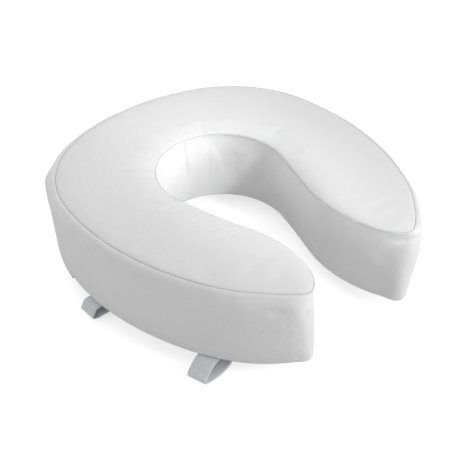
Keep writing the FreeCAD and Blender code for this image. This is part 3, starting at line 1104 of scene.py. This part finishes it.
def build_object():
    vinyl = vinyl_material()
    thread = thread_material()
    loop_tape = tape_material("loop_tape", (0.88, 0.895, 0.92), (0.73, 0.745, 0.775), 1.0)
    hook_tape = tape_material("hook_tape", (0.70, 0.715, 0.74), (0.54, 0.555, 0.585), 2.0)
    tape = zip_tape_material()
    metal = metal_material()
    settled = settle_cover()
    band, strip = build_band()
    top_panel = build_top()
    follow_settled(band, settled)
    follow_settled(top_panel, settled)
    place(band, vinyl, "vinyl", "side_band")
    place(strip, vinyl, "vinyl", "zip_strip")
    place(top_panel, vinyl, "vinyl", "top_panel")
    place(build_bottom(), vinyl, "vinyl", "bottom_panel")
    place(build_foam(), foam_material(), "foam", "foam_core")
    top, low, join = build_threads()
    place(top, thread, "thread", "top_seam_thread")
    place(low, thread, "thread", "bottom_seam_thread")
    place(join, thread, "thread", "band_join_thread")
    coil = coil_material()
    upper = build_coil("upper_coil", "upper_zip_coil", False, 0.0)
    lower = build_coil("lower_coil", "lower_zip_coil", True, 0.5)
    place(upper, coil, "zip_coil", "upper_zip_coil")
    place(lower, coil, "zip_coil", "lower_zip_coil")
    for node in ("upper_zip_tape", "lower_zip_tape"):
        dress_node(node, tape)
    for node in ("zip_slider", "zip_pull", "zip_stops"):
        dress_node(node, metal, 0.12 * MM)
    for node in ("strap_stitches", "hook_strap_stitches"):
        dress_node(node, thread)
    build_straps(loop_tape, hook_tape)


# ---- stage --------------------------------------------------------------

CAMERA_AZIMUTH = -41.1
CAMERA_ELEVATION = 37.87
CAMERA_DISTANCE = 1.2707
CAMERA_LENS = 76.7
CAMERA_TARGET = Vector((0.0089, 0.0061 - 0.156, 0.0))
SKY = 0.43                  # strength of the even light from all round
FLOOR_GLOW = 0.66
FLOOR_HALF = 4.0

# Soft lights: azimuth and elevation in degrees, distance, size and power.
SOFT_LIGHTS = {
    "front_right": (28, 25, 3.0, 1.4, 42.0),
    "rear": (165, 40, 2.0, 1.8, 14.5),
    "low_left": (-112, 12, 3.0, 1.4, 13.0),
}
SPOT_AZIMUTH = -2
SPOT_ELEVATION = 29
SPOT_DISTANCE = 1.2
SPOT_CONE = 8.6             # degrees
SPOT_POWER = 84.0
SPOT_AIM = Vector((0.025, JOIN_LOW.y, TOP_Z * 0.4))


def direction(azimuth, elevation):
    a, e = math.radians(azimuth), math.radians(elevation)
    return Vector((math.sin(a) * math.cos(e), -math.cos(a) * math.cos(e), math.sin(e)))


def aim(obj, target, back, distance):
    """Puts a camera or light at a distance from its target, looking at it."""
    obj.location = target + back * distance
    obj.rotation_mode = "QUATERNION"
    obj.rotation_quaternion = (-back).to_track_quat("-Z", "Y")


def build_camera():
    camera = bpy.data.objects.new("camera", bpy.data.cameras.new("camera"))
    bpy.context.scene.collection.objects.link(camera)
    back = direction(CAMERA_AZIMUTH, CAMERA_ELEVATION)
    aim(camera, CAMERA_TARGET, back, CAMERA_DISTANCE)
    camera.data.lens = CAMERA_LENS
    camera.data.sensor_width = 36.0
    camera.data.clip_end = 20.0
    bpy.context.scene.camera = camera


def area_light(name, azimuth, elevation, distance, size, power):
    light = bpy.data.lights.new(name, "AREA")
    light.energy = power
    light.size = size
    obj = bpy.data.objects.new(name, light)
    bpy.context.scene.collection.objects.link(obj)
    aim(obj, Vector((0, 0, 0)), direction(azimuth, elevation), distance)


def opening_light():
    """A soft spot that reaches the opening's back wall between the arms."""
    light = bpy.data.lights.new("opening", "SPOT")
    light.energy = SPOT_POWER
    light.spot_size = math.radians(SPOT_CONE)
    light.spot_blend = 1.0
    light.shadow_soft_size = 0.12
    obj = bpy.data.objects.new("opening", light)
    bpy.context.scene.collection.objects.link(obj)
    aim(obj, SPOT_AIM, direction(SPOT_AZIMUTH, SPOT_ELEVATION), SPOT_DISTANCE)


def floor_material():
    """A pale studio floor; the camera alone sees it glow, so it stays white."""
    n = Nodes("studio_floor", (0.74, 0.74, 0.74), 0.9, specular=0.0)
    path = n.add("ShaderNodeLightPath").outputs["Is Camera Ray"]
    n.surface.inputs["Emission Color"].default_value = (1, 1, 1, 1)
    n.link(n.ramp(path, 0, 1, 0.0, FLOOR_GLOW), n.surface.inputs["Emission Strength"])
    return n.material


def build_stage():
    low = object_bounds()[0].z
    corners = [(-1, -1), (1, -1), (1, 1), (-1, 1)]
    points = [(FLOOR_HALF * x, FLOOR_HALF * y, low) for x, y in corners]
    floor = make_object("studio_floor", points, [(0, 1, 2, 3)])
    floor.data.materials.append(floor_material())
    world = bpy.data.worlds.new("studio")
    world.use_nodes = True
    world.node_tree.nodes["Background"].inputs["Color"].default_value = (1, 1, 1, 1)
    world.node_tree.nodes["Background"].inputs["Strength"].default_value = SKY
    bpy.context.scene.world = world
    for name, settings in SOFT_LIGHTS.items():
        area_light(name, *settings)
    opening_light()
    bpy.context.scene.view_settings.view_transform = "Standard"


build_object()
build_stage()
build_camera()
